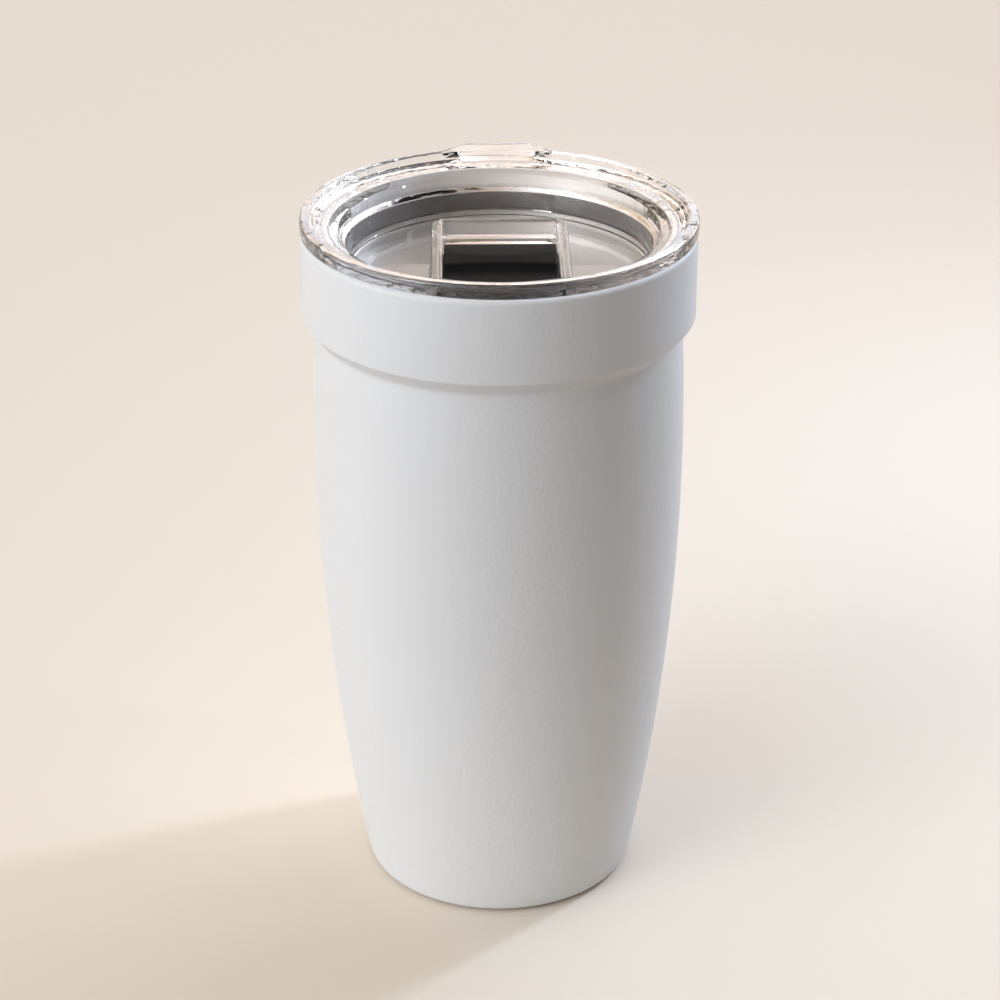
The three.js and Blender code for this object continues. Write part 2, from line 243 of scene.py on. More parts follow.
def bezier(p0, p1, p2, p3, steps=10):
    """Points of a cubic curve after its first."""
    points = []
    for i in range(1, steps + 1):
        t = i / steps
        weights = ((1 - t) ** 3, 3 * t * (1 - t) ** 2, 3 * t * t * (1 - t), t ** 3)
        x = sum(w * p[0] for w, p in zip(weights, (p0, p1, p2, p3)))
        y = sum(w * p[1] for w, p in zip(weights, (p0, p1, p2, p3)))
        points.append((x, y))
    return points


# ---- Mesh helpers ---------------------------------------------------------------------------------

def make_object(name, vertices, faces, smooth_angle=32):
    """A mesh object from points in millimetres, smooth but for edges sharper than the angle."""
    mesh = bpy.data.meshes.new(name)
    mesh.from_pydata([(x * MM, y * MM, z * MM) for x, y, z in vertices], [], faces)
    mesh.validate()
    piece = bpy.data.objects.new(name, mesh)
    bpy.context.scene.collection.objects.link(piece)
    shade(piece, smooth_angle)
    return piece


def shade(piece, smooth_angle=32):
    """Shades a piece smooth but for edges sharper than the angle."""
    piece.data.shade_smooth()
    piece.data.set_sharp_from_angle(angle=radians(smooth_angle))


def lathe(name, outline, segments=SEGMENTS, centre=(0, 0), smooth_angle=32):
    """Turns a closed (radius, height) outline about the vertical axis through centre."""
    area = sum(a[0] * b[1] - b[0] * a[1] for a, b in zip(outline, outline[1:] + outline[:1]))
    if area < 0:
        outline = outline[::-1]
    vertices, rings = [], []
    for r, z in outline:
        if r < 1e-6:
            rings.append([len(vertices)] * segments)
            vertices.append((centre[0], centre[1], z))
            continue
        rings.append(list(range(len(vertices), len(vertices) + segments)))
        for i in range(segments):
            angle = 2 * pi * i / segments
            vertices.append((centre[0] + r * cos(angle), centre[1] + r * sin(angle), z))
    faces = []
    for lower, upper in zip(rings, rings[1:] + rings[:1]):
        for i in range(segments):
            j = (i + 1) % segments
            face = [lower[i], lower[j], upper[j], upper[i]]
            face = [v for k, v in enumerate(face) if v != face[k - 1]]
            if len(face) > 2:
                faces.append(face)
    return make_object(name, vertices, faces, smooth_angle)


def loft(name, outline, levels, smooth_angle=32):
    """A closed solid through copies of a plan outline, one for each (height, inset) level, lowest first."""
    vertices, faces = [], []
    for height, inset in levels:
        vertices += [(x, y, height) for x, y in outline(inset)]
    count = len(outline(0))
    for level in range(len(levels) - 1):
        base = level * count
        for i in range(count):
            j = (i + 1) % count
            faces.append((base + i, base + j, base + count + j, base + count + i))
    faces.append(tuple(range(count))[::-1])
    faces.append(tuple(range(len(vertices) - count, len(vertices))))
    return make_object(name, vertices, faces, smooth_angle)


def round_levels(bottom, top, low_round=0.0, high_round=0.0, steps=5):
    """Levels for loft with the lower and upper edge rounded outwards by those radii."""
    levels = []
    for i in range(steps + 1):
        angle = pi / 2 * i / steps
        levels.append((bottom + low_round * (1 - cos(angle)), low_round * (1 - sin(angle))))
        if low_round == 0:
            break
    for i in range(steps + 1):
        angle = pi / 2 * i / steps
        levels.append((top - high_round * (1 - sin(angle)), high_round * (1 - cos(angle))))
        if high_round == 0:
            levels[-1] = (top, 0.0)
            break
    return levels


def combine(piece, other, operation):
    """Joins, cuts or intersects piece with other, which is used up."""
    modifier = piece.modifiers.new("combine", "BOOLEAN")
    modifier.operation = operation
    modifier.solver = "EXACT"
    modifier.object = other
    graph = bpy.context.evaluated_depsgraph_get()
    mesh = bpy.data.meshes.new_from_object(piece.evaluated_get(graph))
    piece.modifiers.clear()
    piece.data = mesh
    bpy.data.objects.remove(other)
    return piece


def weld(piece, distance=0.002 * MM):
    """Closes the hairline slivers that combining leaves where two surfaces touch."""
    mesh = bmesh.new()
    mesh.from_mesh(piece.data)
    bmesh.ops.remove_doubles(mesh, verts=mesh.verts, dist=distance)
    mesh.to_mesh(piece.data)
    mesh.free()


# ---- Material helpers -----------------------------------------------------------------------------

class Paint:
    """A material with its Principled shader, and short calls for the nodes that drive it."""

    def __init__(self, name, base, roughness, metallic=0.0, **constants):
        self.material = bpy.data.materials.new(name)
        self.material.use_nodes = True
        self.tree = self.material.node_tree
        self.shader = self.tree.nodes["Principled BSDF"]
        self.set("Base Color", (*base, 1))
        self.set("Roughness", roughness)
        self.set("Metallic", metallic)
        for key, value in constants.items():
            self.set(key.replace("_", " "), value)
        self.object_coordinates = self.add("ShaderNodeTexCoord").outputs["Object"]

    def set(self, socket, value):
        self.shader.inputs[socket].default_value = value

    def add(self, kind, **settings):
        node = self.tree.nodes.new(kind)
        for key, value in settings.items():
            setattr(node, key, value)
        return node

    def link(self, source, target):
        self.tree.links.new(source, target)

    def drive(self, socket, source):
        self.link(source, self.shader.inputs[socket])

    def math(self, operation, first, second=None):
        node = self.add("ShaderNodeMath", operation=operation)
        for i, value in enumerate((first, second)):
            if isinstance(value, (int, float)):
                node.inputs[i].default_value = value
            elif value is not None:
                self.link(value, node.inputs[i])
        return node.outputs[0]

    def polar(self, around, across, along):
        """Angle, radius and height, each times its own scale, for marks that run round the axis."""
        x, y, z = self.split(self.object_coordinates)
        squares = self.math("MULTIPLY", x, x), self.math("MULTIPLY", y, y)
        radius = self.math("SQRT", self.math("ADD", *squares))
        joined = self.add("ShaderNodeCombineXYZ")
        self.link(self.math("MULTIPLY", self.math("ARCTAN2", y, x), around), joined.inputs[0])
        self.link(self.math("MULTIPLY", radius, across), joined.inputs[1])
        self.link(self.math("MULTIPLY", z, along), joined.inputs[2])
        return joined.outputs[0]

    def noise(self, scale, detail=2.0, roughness=0.5, vector=None):
        node = self.add("ShaderNodeTexNoise")
        node.inputs["Scale"].default_value = scale
        node.inputs["Detail"].default_value = detail
        node.inputs["Roughness"].default_value = roughness
        self.link(vector or self.object_coordinates, node.inputs["Vector"])
        return node.outputs["Fac"]

    def cells(self, scale):
        node = self.add("ShaderNodeTexVoronoi")
        node.inputs["Scale"].default_value = scale
        self.link(self.object_coordinates, node.inputs["Vector"])
        return node.outputs["Distance"]

    def range(self, source, low, high, start=0.0, end=1.0, **settings):
        """Maps start..end to low..high."""
        node = self.add("ShaderNodeMapRange", **settings)
        node.inputs["From Min"].default_value = start
        node.inputs["From Max"].default_value = end
        node.inputs["To Min"].default_value = low
        node.inputs["To Max"].default_value = high
        self.link(source, node.inputs["Value"])
        return node.outputs["Result"]

    def split(self, vector):
        """The three parts of a vector."""
        node = self.add("ShaderNodeSeparateXYZ")
        self.link(vector, node.inputs[0])
        return node.outputs

    def tint(self, source, low, high):
        """Mixes two colours by a value."""
        node = self.add("ShaderNodeMix", data_type="RGBA")
        self.link(source, node.inputs["Factor"])
        for socket, colour in ((node.inputs[6], low), (node.inputs[7], high)):
            if isinstance(colour, tuple):
                socket.default_value = (*colour, 1)
            else:
                self.link(colour, socket)
        return node.outputs[2]

    def bump(self, *layers):
        """Surface relief from (height source, depth in mm) layers, coarsest first."""
        normal = None
        for source, depth in layers:
            node = self.add("ShaderNodeBump")
            node.inputs["Strength"].default_value = 1.0
            node.inputs["Distance"].default_value = depth * MM
            self.link(source, node.inputs["Height"])
            if normal is not None:
                self.link(normal, node.inputs["Normal"])
            normal = node.outputs["Normal"]
        self.drive("Normal", normal)


def powder_coat():
    """White powder coat: a fine, soft-edged grain over a faint waviness, a little uneven in gloss."""
    paint = Paint("powder_coat", (0.625, 0.644, 0.672), 0.5)
    cloud = paint.noise(35, detail=3)
    grain = paint.noise(1250, detail=3, roughness=0.6)
    paint.drive("Base Color", paint.tint(cloud, (0.617, 0.636, 0.664), (0.633, 0.652, 0.68)))
    paint.drive("Roughness", paint.range(grain, 0.42, 0.62))
    paint.bump((paint.noise(160, detail=2), 0.03), (grain, 0.09))
    return paint.material


def brushed_steel(name, around, across, along):
    """Stainless steel with fine brushing that runs round the axis."""
    paint = Paint(name, (0.9, 0.865, 0.82), 0.5, metallic=0.3)
    lines = paint.noise(1.0, detail=4, roughness=0.7, vector=paint.polar(around, across, along))
    cloud = paint.noise(60, detail=2)
    paint.drive("Base Color", paint.tint(cloud, (0.88, 0.84, 0.79), (0.92, 0.88, 0.83)))
    paint.drive("Roughness", paint.range(lines, 0.42, 0.6))
    paint.bump((lines, 0.012))
    return paint.material


def clear_plastic():
    """Clear moulded copolyester, a little wavy towards its rim, which shadow rays pass straight through."""
    paint = Paint("clear_plastic", (0.986, 0.965, 0.963), 0.02, Transmission_Weight=1.0, IOR=1.54)
    haze = paint.noise(90, detail=4)
    paint.drive("Roughness", paint.range(haze, 0.012, 0.035))
    radius = paint.split(paint.polar(0, 1, 0))[1]
    towards_rim = paint.range(radius, 0.15, 1.0, 0.035, 0.0395, interpolation_type="SMOOTHSTEP")
    paint.bump((paint.math("MULTIPLY", paint.noise(170, detail=2), towards_rim), 0.3))
    see_through = paint.add("ShaderNodeBsdfTransparent")
    see_through.inputs["Color"].default_value = (0.97, 0.962, 0.96, 1)
    mix = paint.add("ShaderNodeMixShader")
    path = paint.add("ShaderNodeLightPath")
    paint.link(path.outputs["Is Shadow Ray"], mix.inputs[0])
    paint.link(paint.shader.outputs[0], mix.inputs[1])
    paint.link(see_through.outputs[0], mix.inputs[2])
    paint.link(mix.outputs[0], paint.tree.nodes["Material Output"].inputs["Surface"])
    return paint.material


def silicone(name, dark, light, roughness, translucency=0.0):
    """Moulded silicone: satin, slightly uneven, with a very fine mould texture."""
    paint = Paint(name, dark, roughness, Subsurface_Weight=translucency, Subsurface_Scale=0.002)
    cloud = paint.noise(120, detail=3)
    fine = paint.noise(2600, detail=1)
    paint.drive("Base Color", paint.tint(cloud, dark, light))
    paint.drive("Roughness", paint.range(fine, roughness - 0.07, roughness + 0.08))
    paint.bump((fine, 0.012))
    return paint.material


def black_plastic():
    """Black moulded plastic with a spark-eroded texture and paler rubbed high spots."""
    paint = Paint("black_plastic", (0.004, 0.004, 0.005), 0.5, Specular_IOR_Level=0.04)
    grain = paint.noise(2300, detail=2, roughness=0.65)
    rub = paint.noise(180, detail=3)
    paint.drive("Base Color", paint.tint(rub, (0.003, 0.003, 0.0035), (0.006, 0.006, 0.0065)))
    paint.drive("Roughness", paint.range(grain, 0.36, 0.58))
    paint.bump((grain, 0.05))
    return paint.material


def crinkled_foil():
    """Copper foil, crumpled by hand as it is wrapped."""
    paint = Paint("foil", (0.78, 0.52, 0.38), 0.22, metallic=1.0)
    creases = paint.cells(170)
    cloud = paint.noise(80, detail=3)
    paint.drive("Base Color", paint.tint(cloud, (0.70, 0.44, 0.30), (0.84, 0.60, 0.46)))
    paint.drive("Roughness", paint.range(paint.noise(400), 0.15, 0.35))
    paint.bump((creases, 0.3), (paint.noise(900, detail=3), 0.04))
    return paint.material


def fused_glass():
    """Dark solder glass that has melted and set."""
    paint = Paint("solder_glass", (0.05, 0.07, 0.08), 0.12, Coat_Weight=0.4)
    cloud = paint.noise(900, detail=3)
    paint.drive("Base Color", paint.tint(cloud, (0.035, 0.05, 0.055), (0.09, 0.12, 0.13)))
    paint.bump((paint.noise(700, detail=2), 0.05))
    return paint.material


def pressed_powder():
    """Grey metal powder pressed into a tablet."""
    paint = Paint("getter_metal", (0.2, 0.2, 0.21), 0.8, metallic=0.6)
    grain = paint.noise(4200, detail=3, roughness=0.7)
    paint.drive("Base Color", paint.tint(grain, (0.13, 0.13, 0.14), (0.27, 0.27, 0.28)))
    paint.bump((grain, 0.06))
    return paint.material


def paper():
    """Warm pale sweep paper with a faint mottle; painted light makes it paler far behind the object and
    painted shade makes it dark in front of it.
    """
    paint = Paint("sweep_paper", (0.80, 0.72, 0.62), 0.75)
    cloud = paint.noise(6, detail=4)
    fibre = paint.noise(900, detail=3)
    back = paint.split(paint.object_coordinates)[1]
    # Painted shade: the base colour turns dark in front of the object, standing in for shade there.
    painted_front_shade_mask = paint.range(back, 0.0, 1.0, -0.3, -0.075, interpolation_type="SMOOTHSTEP")
    # Painted light: the base colour grows paler towards the back, standing in for light there.
    painted_light_back = paint.range(back, 0.0, 1.0, 0.05, 0.8)
    mottle = paint.tint(cloud, (0.785, 0.71, 0.62), (0.795, 0.72, 0.63))
    mottle_with_painted_light = paint.tint(painted_light_back, mottle, (0.87, 0.805, 0.745))
    paint.drive("Base Color", paint.tint(painted_front_shade_mask, (0.12, 0.11, 0.10), mottle_with_painted_light))
    paint.bump((fibre, 0.02))
    return paint.material


# ---- Placing pieces ---------------------------------------------------------------------------------

def finish_piece(piece, body, node, material):
    """Gives a piece its material, lets it ride on its body and stand for its CAD node."""
    piece.data.materials.clear()
    piece.data.materials.append(material)
    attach(piece, body)
    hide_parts(node)
    return piece


# ---- Cup --------------------------------------------------------------------------------------------

def side_radius(height):
    """Outside radius of the barrel-shaped side."""
    rise = height - BELLY_HEIGHT
    return BELLY_RADIUS - (SIDE_ARC_RADIUS - sqrt(SIDE_ARC_RADIUS ** 2 - rise ** 2))


def side_path(bottom, top, steps, inset=0.0):
    """The side as a path upwards, moved inwards by the inset."""
    heights = [bottom + (top - bottom) * i / steps for i in range(steps + 1)]
    return [(side_radius(z) - inset, z) for z in heights]


def outer_shell():
    """From the hem round the vacuum plate, over the foot and up the side to the collar and lip."""
    path = rounded([
        (HEM_RADIUS, PLATE_LOW.z + 0.2),
        (HEM_RADIUS, SHELL_BOTTOM, 0.9),
        (side_radius(FOOT_HEIGHT) - 0.55, SHELL_BOTTOM, 1.9),
        *side_path(FOOT_HEIGHT + 1.2, BEVEL_BOTTOM - 1.8, 48),
        (side_radius(BEVEL_BOTTOM), BEVEL_BOTTOM, 2.2),
        (COLLAR_RADIUS, COLLAR_BOTTOM, 0.75),
        (COLLAR_RADIUS, LIP_HEIGHT, 1.25),
        (NECK_RADIUS + 1.6, LIP_HEIGHT),
    ], closed=False)
    return lathe("shell_coated", sheet(path), smooth_angle=60)


def inner_liner():
    """From the lip down the straight neck and the side to the seam of the floor."""
    wall = side_path(22, NECK_BOTTOM - 3, 30, LINER_INSET)[::-1]
    path = rounded([
        (NECK_RADIUS + 1.3, LIP_HEIGHT),
        (NECK_RADIUS, LIP_HEIGHT, 0.7),
        (NECK_RADIUS, NECK_BOTTOM, 1.2),
        (wall[0][0], wall[0][1], 1.2),
        *wall[1:],
        (side_radius(14) - LINER_INSET, LINER_FLOOR, 9.0),
        (FLOOR_SEAM_RADIUS, LINER_FLOOR),
    ], closed=False)
    return lathe("liner_wall", sheet(path), smooth_angle=60)


def liner_floor():
    """A disc with a weld bead round its edge and a slightly raised middle."""
    edge = FLOOR_SEAM_RADIUS - 0.05
    path = rounded([
        (edge, LINER_FLOOR), (edge - 0.7, LINER_FLOOR + 0.18, 0.5), (edge - 1.6, LINER_FLOOR, 0.5),
        (18, LINER_FLOOR, 3), (12, FLOOR_CENTRE_HEIGHT - 0.15, 3), (4, FLOOR_CENTRE_HEIGHT, 3),
        (0, FLOOR_CENTRE_HEIGHT),
    ], closed=False)
    return lathe("liner_floor_disc", sheet(path), smooth_angle=60)


def foil_wrap():
    path = side_path(FOIL_BOTTOM, FOIL_TOP, 30, LINER_INSET - FOIL_GAP)[::-1]
    return lathe("foil_sleeve", sheet(path, FOIL_THICKNESS), smooth_angle=60)


def vacuum_plate():
    """A flat disc whose middle is pressed up into a dimple, with the evacuation hole in it."""
    edge, low, dimple, hole = PLATE_HIGH.x, PLATE_LOW.z, 4.0, 0.7
    pressed = low + DIMPLE_RISE
    outline = rounded([
        (hole, pressed), (dimple - 1, pressed, 0.5), (dimple, low, 0.6), (edge, low, 0.1),
        (edge, low + SHEET, 0.1), (dimple + 0.3, low + SHEET, 0.5), (dimple - 0.7, pressed + SHEET, 0.5),
        (hole, pressed + SHEET),
    ])
    return lathe("vacuum_disc", outline, 128)


def vacuum_seal():
    """The bead of solder glass under the hole, in the dimple."""
    top = PLATE_LOW.z + DIMPLE_RISE
    outline = rounded([
        (0, top), (2.5, top, 0.1), (2.55, top - 0.5, 0.4), (1.6, top - 1.1, 0.8), (0, top - 1.35),
    ])
    return lathe("vacuum_bead", outline, SMALL_SEGMENTS, smooth_angle=60)


def getter():
    """A tablet with a shallow dish in its top."""
    low, high, radius = GETTER_LOW.z, GETTER_HIGH.z, 4.0
    dish = high - 0.25
    outline = rounded([
        (0, low), (radius, low, 0.3), (radius, high, 0.5), (2.4, high, 0.1), (2.2, dish, 0.1), (0, dish),
    ])
    return lathe("getter_pellet", outline, SMALL_SEGMENTS, centre=(GETTER_X, 0))


def getter_clip():
    """A stamped cup with a flat flange, in which the getter sits."""
    low = PLATE_LOW.z + 0.6
    flange, rim = low + 0.3, low + 2
    outline = rounded([
        (0, low), (6.2, low, 0.1), (6.2, flange, 0.1), (4.6, flange, 0.15), (4.6, rim, 0.15),
        (4.2, rim, 0.15), (4.2, flange, 0.1), (0, flange),
    ])
    return lathe("getter_holder", outline, SMALL_SEGMENTS, centre=(GETTER_X, 0))


def base_cover():
    """The bottom cup, recessed for the foot pad."""
    edge, low, high = COVER_HIGH.x, COVER_LOW.z, COVER_HIGH.z
    seat = PAD_HIGH.z
    recess = PAD_HIGH.x + 0.25
    outline = rounded([
        (0, seat), (recess, seat, 0.15), (recess, low, 0.3), (edge, low, 0.4), (edge, high, 0.2),
        (edge - SHEET, high, 0.2), (edge - SHEET, seat + SHEET, 0.4), (0, seat + SHEET),
    ])
    return lathe("base_disc", outline)


def foot_pad():
    """Non-slip disc with shallow round grooves in its underside."""
    edge, top = PAD_HIGH.x, PAD_HIGH.z
    groove_width, groove_depth = 0.9, 0.45
    corners = [(0, 0)]
    for radius in (6.5, 12, 17.5, 23):
        far_side = radius + groove_width
        corners += [
            (radius, 0, 0.12), (radius + 0.15, groove_depth, 0.12),
            (far_side, groove_depth, 0.12), (far_side + 0.15, 0, 0.12),
        ]
    corners += [(edge, 0, 0.6), (edge, top, 0.1), (0, top)]
    return lathe("foot_disc", rounded(corners))


# ---- Lid --------------------------------------------------------------------------------------------

def lid_bowl():
    """Rim, concave drinking ring, stepped wall, dish and grooved plug."""
    return lathe("lid_clear", rounded(down([
        (0, PLUG_DEPTH), (37.6, PLUG_DEPTH, 0.9), (38.3, GROOVE_BOTTOM, 0.25),
        (GROOVE_RADIUS, GROOVE_BOTTOM, 0.2), (GROOVE_RADIUS, GROOVE_TOP, 0.2), (39.3, GROOVE_TOP, 0.25),
        (39.6, RIM_DEPTH, 0.3), (RIM_RADIUS, RIM_DEPTH, 0.45),
        (RIM_RADIUS, 0, 0.8), (LAND_INNER_RADIUS, 0, 0.7),
        (42.7, 1.35, 1.5), (41.2, 2.2, 2.5), (RING_EDGE_RADIUS, RING_EDGE_DEPTH, 0.7),
        (37.2, 3.7, 0.8), (35.3, 7.2, 2.0), (DISH_RADIUS, DISH_DEPTH, 1.0), (0, DISH_DEPTH),
    ])))


def housing_block():
    """The slider's raised housing, whose foot flares into the dish floor, kept inside the bowl's wall."""
    flare = 0.8
    floor = LID_TOP - DISH_DEPTH
    levels = [(LID_TOP - PLUG_DEPTH + 0.4, -flare)]
    for i in range(6):
        angle = pi / 2 * i / 5
        levels.append((floor + flare * (1 - cos(angle)), -flare * (1 - sin(angle))))
    levels += round_levels(floor + 2, LID_TOP - RING_EDGE_DEPTH, 0, 0.7)
    block = loft("housing", rounded_box(HOUSING_HALF_WIDTH, -40, HOUSING_BACK, 4.2, 10), levels)
    within_plug, low, high = GROOVE_RADIUS - 0.7, PLUG_DEPTH - 0.3, RING_EDGE_DEPTH - 0.05
    limit = lathe("limit", down([
        (0, low), (within_plug, low), (within_plug, 4.4), (RING_EDGE_RADIUS - 0.35, high), (0, high),
    ]))
    return combine(block, limit, "INTERSECT")


def tab_outline(inset=0.0):
    """Plan of the lift tab: a block across the ring that swells past the rim on S-shaped shoulders."""
    inner = RING_EDGE_RADIUS + 0.6 + inset
    side = TAB_HALF_WIDTH - 0.9 - inset
    foot_x = TAB_FOOT_HALF_WIDTH - inset
    foot_y = sqrt((RIM_RADIUS - 0.1) ** 2 - TAB_FOOT_HALF_WIDTH ** 2)
    seat_y = foot_y - 0.6
    tip_x, tip_y = 7.2, TAB_REACH - inset
    right = (
        arc_points(side - 1, inner + 1, 1, -90, 0, 6)
        + bezier((side, inner + 1), (side + 0.1, seat_y - 0.4), (side + 0.9, seat_y), (side + 3.2, seat_y))
        + [(foot_x - 0.6, seat_y), (foot_x, foot_y)]
        + bezier((foot_x, foot_y), (foot_x - 2.1, foot_y + 0.7), (tip_x + 2.2, tip_y), (tip_x, tip_y))
    )
    return right + [(-x, y) for x, y in right[::-1]]


def cutters():
    """What is cut from the lid, with the lips of the channel and of the sip opening softened."""
    floor = LID_TOP - CHANNEL_DEPTH
    lip = LID_TOP - RING_EDGE_DEPTH
    under = floor - CHANNEL_FLOOR_THICKNESS
    plug = LID_TOP - PLUG_DEPTH

    def soft_lip(height, radius, angles):
        return [(height - radius * (1 - sin(a)), -radius * (1 - cos(a))) for a in angles]

    channel = tongue(CHANNEL_HALF_WIDTH, CHANNEL_BACK, CHANNEL_FRONT_RADIUS, 1.6)
    grooves = tongue(CHANNEL_HALF_WIDTH + RAIL_GROOVE, CHANNEL_BACK - 0.4, CHANNEL_FRONT_RADIUS - 0.4, 1.5)
    pocket = tongue(HOUSING_HALF_WIDTH - 2.0, HOUSING_BACK - 2.0, DISH_RADIUS, 3.0)
    sip = rounded_box(7.5, -33.6, -28.2, 2.4)
    vent = rounded_box(1.1, -25.7, -23.5, 1.09)
    channel_lip = soft_lip(lip, 0.5, (0.0, 0.4, 0.8, 1.2, pi / 2))
    sip_lip = soft_lip(floor, 0.3, (0.0, 0.5, 1.0, pi / 2))
    return [
        loft("channel_cut", channel, [(floor, 0.12), (floor + 0.12, 0)] + channel_lip + [(lip + 4, -0.5)]),
        loft("groove_cut", grooves, [(floor + 0.02, 0), (LID_TOP - 4.1, 0)]),
        loft("pocket_cut", pocket, [(plug - 1, -0.2), (under - 0.6, 0), (under - 0.15, 0.2), (under, 0.6)]),
        loft("sip_cut", sip, [(under - 1, 0)] + sip_lip + [(floor + 0.5, -0.3)]),
        loft("vent_cut", vent, [(under - 1, 0), (floor + 0.5, 0)]),
    ]


def lid_body():
    lid = lid_bowl()
    tab_levels = round_levels(LID_TOP - TAB_THICKNESS, LID_TOP, 0.5, 0.6)
    combine(lid, housing_block(), "UNION")
    combine(lid, loft("tab", tab_outline, tab_levels), "UNION")
    for cutter in cutters():
        combine(lid, cutter, "DIFFERENCE")
    weld(lid)
    shade(lid, 30)
    return lid


def lid_gasket():
    """A ring with three lips, which stand just clear of the liner's neck as they do in the frame."""
    inner = GROOVE_RADIUS + 0.15
    root, lip = GASKET_ROOT_RADIUS, GASKET_HIGH.x
    corners = [(inner, GROOVE_TOP + 0.2, 0.2), (root, GROOVE_TOP + 0.2, 0.3)]
    for depth in GASKET_LIP_DEPTHS:
        corners += [
            (root, depth - 0.35, 0.25), (lip, depth - 0.12, 0.1), (lip, depth + 0.1, 0.1),
            (root, depth + 0.5, 0.25),
        ]
    corners += [(root, GROOVE_BOTTOM - 0.2, 0.3), (inner, GROOVE_BOTTOM - 0.2, 0.2)]
    return lathe("gasket_ring", rounded(down(corners)), smooth_angle=60)


# ---- Slider -----------------------------------------------------------------------------------------

def crease_line(x):
    """The crease bows towards the sip side."""
    return CREASE_Y + CREASE_RADIUS - sqrt(CREASE_RADIUS ** 2 - x * x)


def scoop_line(x):
    """Where the scoop starts, bowed a little the same way."""
    return SCOOP_Y - SCOOP_BOW * x * x


def slider_depth(x, y):
    """Depth of the slider's top surface below the lid's top plane."""
    crease, scoop = crease_line(x), scoop_line(x)
    if y >= crease:
        t = (y - crease) / (SLIDER_BACK - crease)
        return LAND_DEPTH + LAND_CROWN * t * t
    if y >= scoop:
        return LAND_DEPTH + SLOPE_DROP * (crease - y) / (crease - scoop)
    t = min((scoop - y) / SCOOP_LENGTH, 1.0)
    return LAND_DEPTH + SLOPE_DROP + SCOOP_DROP * sin(t * pi / 2)


def slider_columns():
    """Across positions, closer together near the sides where the edge is rounded."""
    half = SLIDER_HALF_WIDTH
    edge = [half - EDGE_ROUND * 2 * (1 - cos(pi / 2 * i / 7)) for i in range(8)]
    middle = [edge[-1] - edge[-1] * i / 18 for i in range(1, 19)]
    right = edge + middle
    return [-x for x in right] + right[-2::-1]


def slider_rows(x):
    """Positions from front to back in one column, with rows on the scoop's edge and the crease."""
    front = -sqrt(SLIDER_FRONT_RADIUS ** 2 - x * x)
    over = max(abs(x) - (SLIDER_HALF_WIDTH - SLIDER_CORNER), 0)
    back = SLIDER_BACK - SLIDER_CORNER + sqrt(max(SLIDER_CORNER ** 2 - over ** 2, 0))
    scoop, crease = scoop_line(x), crease_line(x)
    rows = [front + EDGE_ROUND * 2 * (1 - cos(pi / 2 * i / 7)) for i in range(8)]
    rows += [rows[-1] + (scoop - rows[-1]) * i / 16 for i in range(1, 17)]
    rows += [scoop + (crease - scoop) * i / 6 for i in range(1, 7)]
    last = back - EDGE_ROUND * 2
    rows += [crease + (last - crease) * i / 12 for i in range(1, 13)]
    rows += [back - EDGE_ROUND * 2 * (1 - sin(pi / 2 * i / 7)) for i in range(1, 8)]
    return rows


def slider_block():
    """The slider's body as a grid over its top, joined by its sides to a flat underside."""
    columns = slider_columns()
    grid = [[(x, y) for y in slider_rows(x)] for x in columns]
    across, along = len(grid), len(grid[0])
    vertices = []
    for column in grid:
        front, back = column[0][1], column[-1][1]
        for x, y in column:
            margin = min(SLIDER_HALF_WIDTH - abs(x), y - front, back - y)
            inward = max(EDGE_ROUND - margin, 0)
            drop = EDGE_ROUND - sqrt(max(EDGE_ROUND ** 2 - inward ** 2, 0))
            vertices.append((x, y, LID_TOP - slider_depth(x, y) - drop))
    count = len(vertices)
    vertices += [(x, y, LID_TOP - SLIDER_BOTTOM) for column in grid for x, y in column]
    faces = []
    for i in range(across - 1):
        for j in range(along - 1):
            a, b = i * along + j, (i + 1) * along + j
            faces.append((a, b, b + 1, a + 1))
            faces.append((count + a, count + a + 1, count + b + 1, count + b))
    rim = list(range(along))
    rim += [i * along + along - 1 for i in range(1, across)]
    rim += [(across - 1) * along + j for j in range(along - 2, -1, -1)]
    rim += [i * along for i in range(across - 2, 0, -1)]
    for a, b in zip(rim, rim[1:] + rim[:1]):
        faces.append((a, b, count + b, count + a))
    return make_object("slider_black", vertices, faces)


def slider():
    """The slider with its side runners, hollowed underneath and with a pocket for its seal."""
    piece = slider_block()
    bottom = LID_TOP - SLIDER_BOTTOM
    runners = tongue(SLIDER_HIGH.x, -15.0, CHANNEL_FRONT_RADIUS - 0.7, 1.2)
    pocket = tongue(SEAL_HIGH.x + 0.2, SEAL_HIGH.y + 0.2, -SEAL_LOW.y + 0.2, 1.2)
    hollow = rounded_box(11.2, -22, SLIDER_BACK - 1.2, 1)
    combine(piece, loft("runners", runners, round_levels(bottom + 0.01, LID_TOP - 4.4, 0.15, 0.2)), "UNION")
    combine(piece, loft("seal_pocket", pocket, [(bottom - 1, 0), (SEAL_HIGH.z + 0.01, 0)]), "DIFFERENCE")
    combine(piece, loft("hollow", hollow, [(bottom - 1, 0), (LID_TOP - 3.5, 0)]), "DIFFERENCE")
    shade(piece, 28)
    return piece


def slider_seal():
    outline = tongue(SEAL_HIGH.x, SEAL_HIGH.y, -SEAL_LOW.y, 1.0)
    return loft("seal_pad", outline, round_levels(SEAL_LOW.z, SEAL_HIGH.z, 0.25, 0.1))


# ---- The object -------------------------------------------------------------------------------------

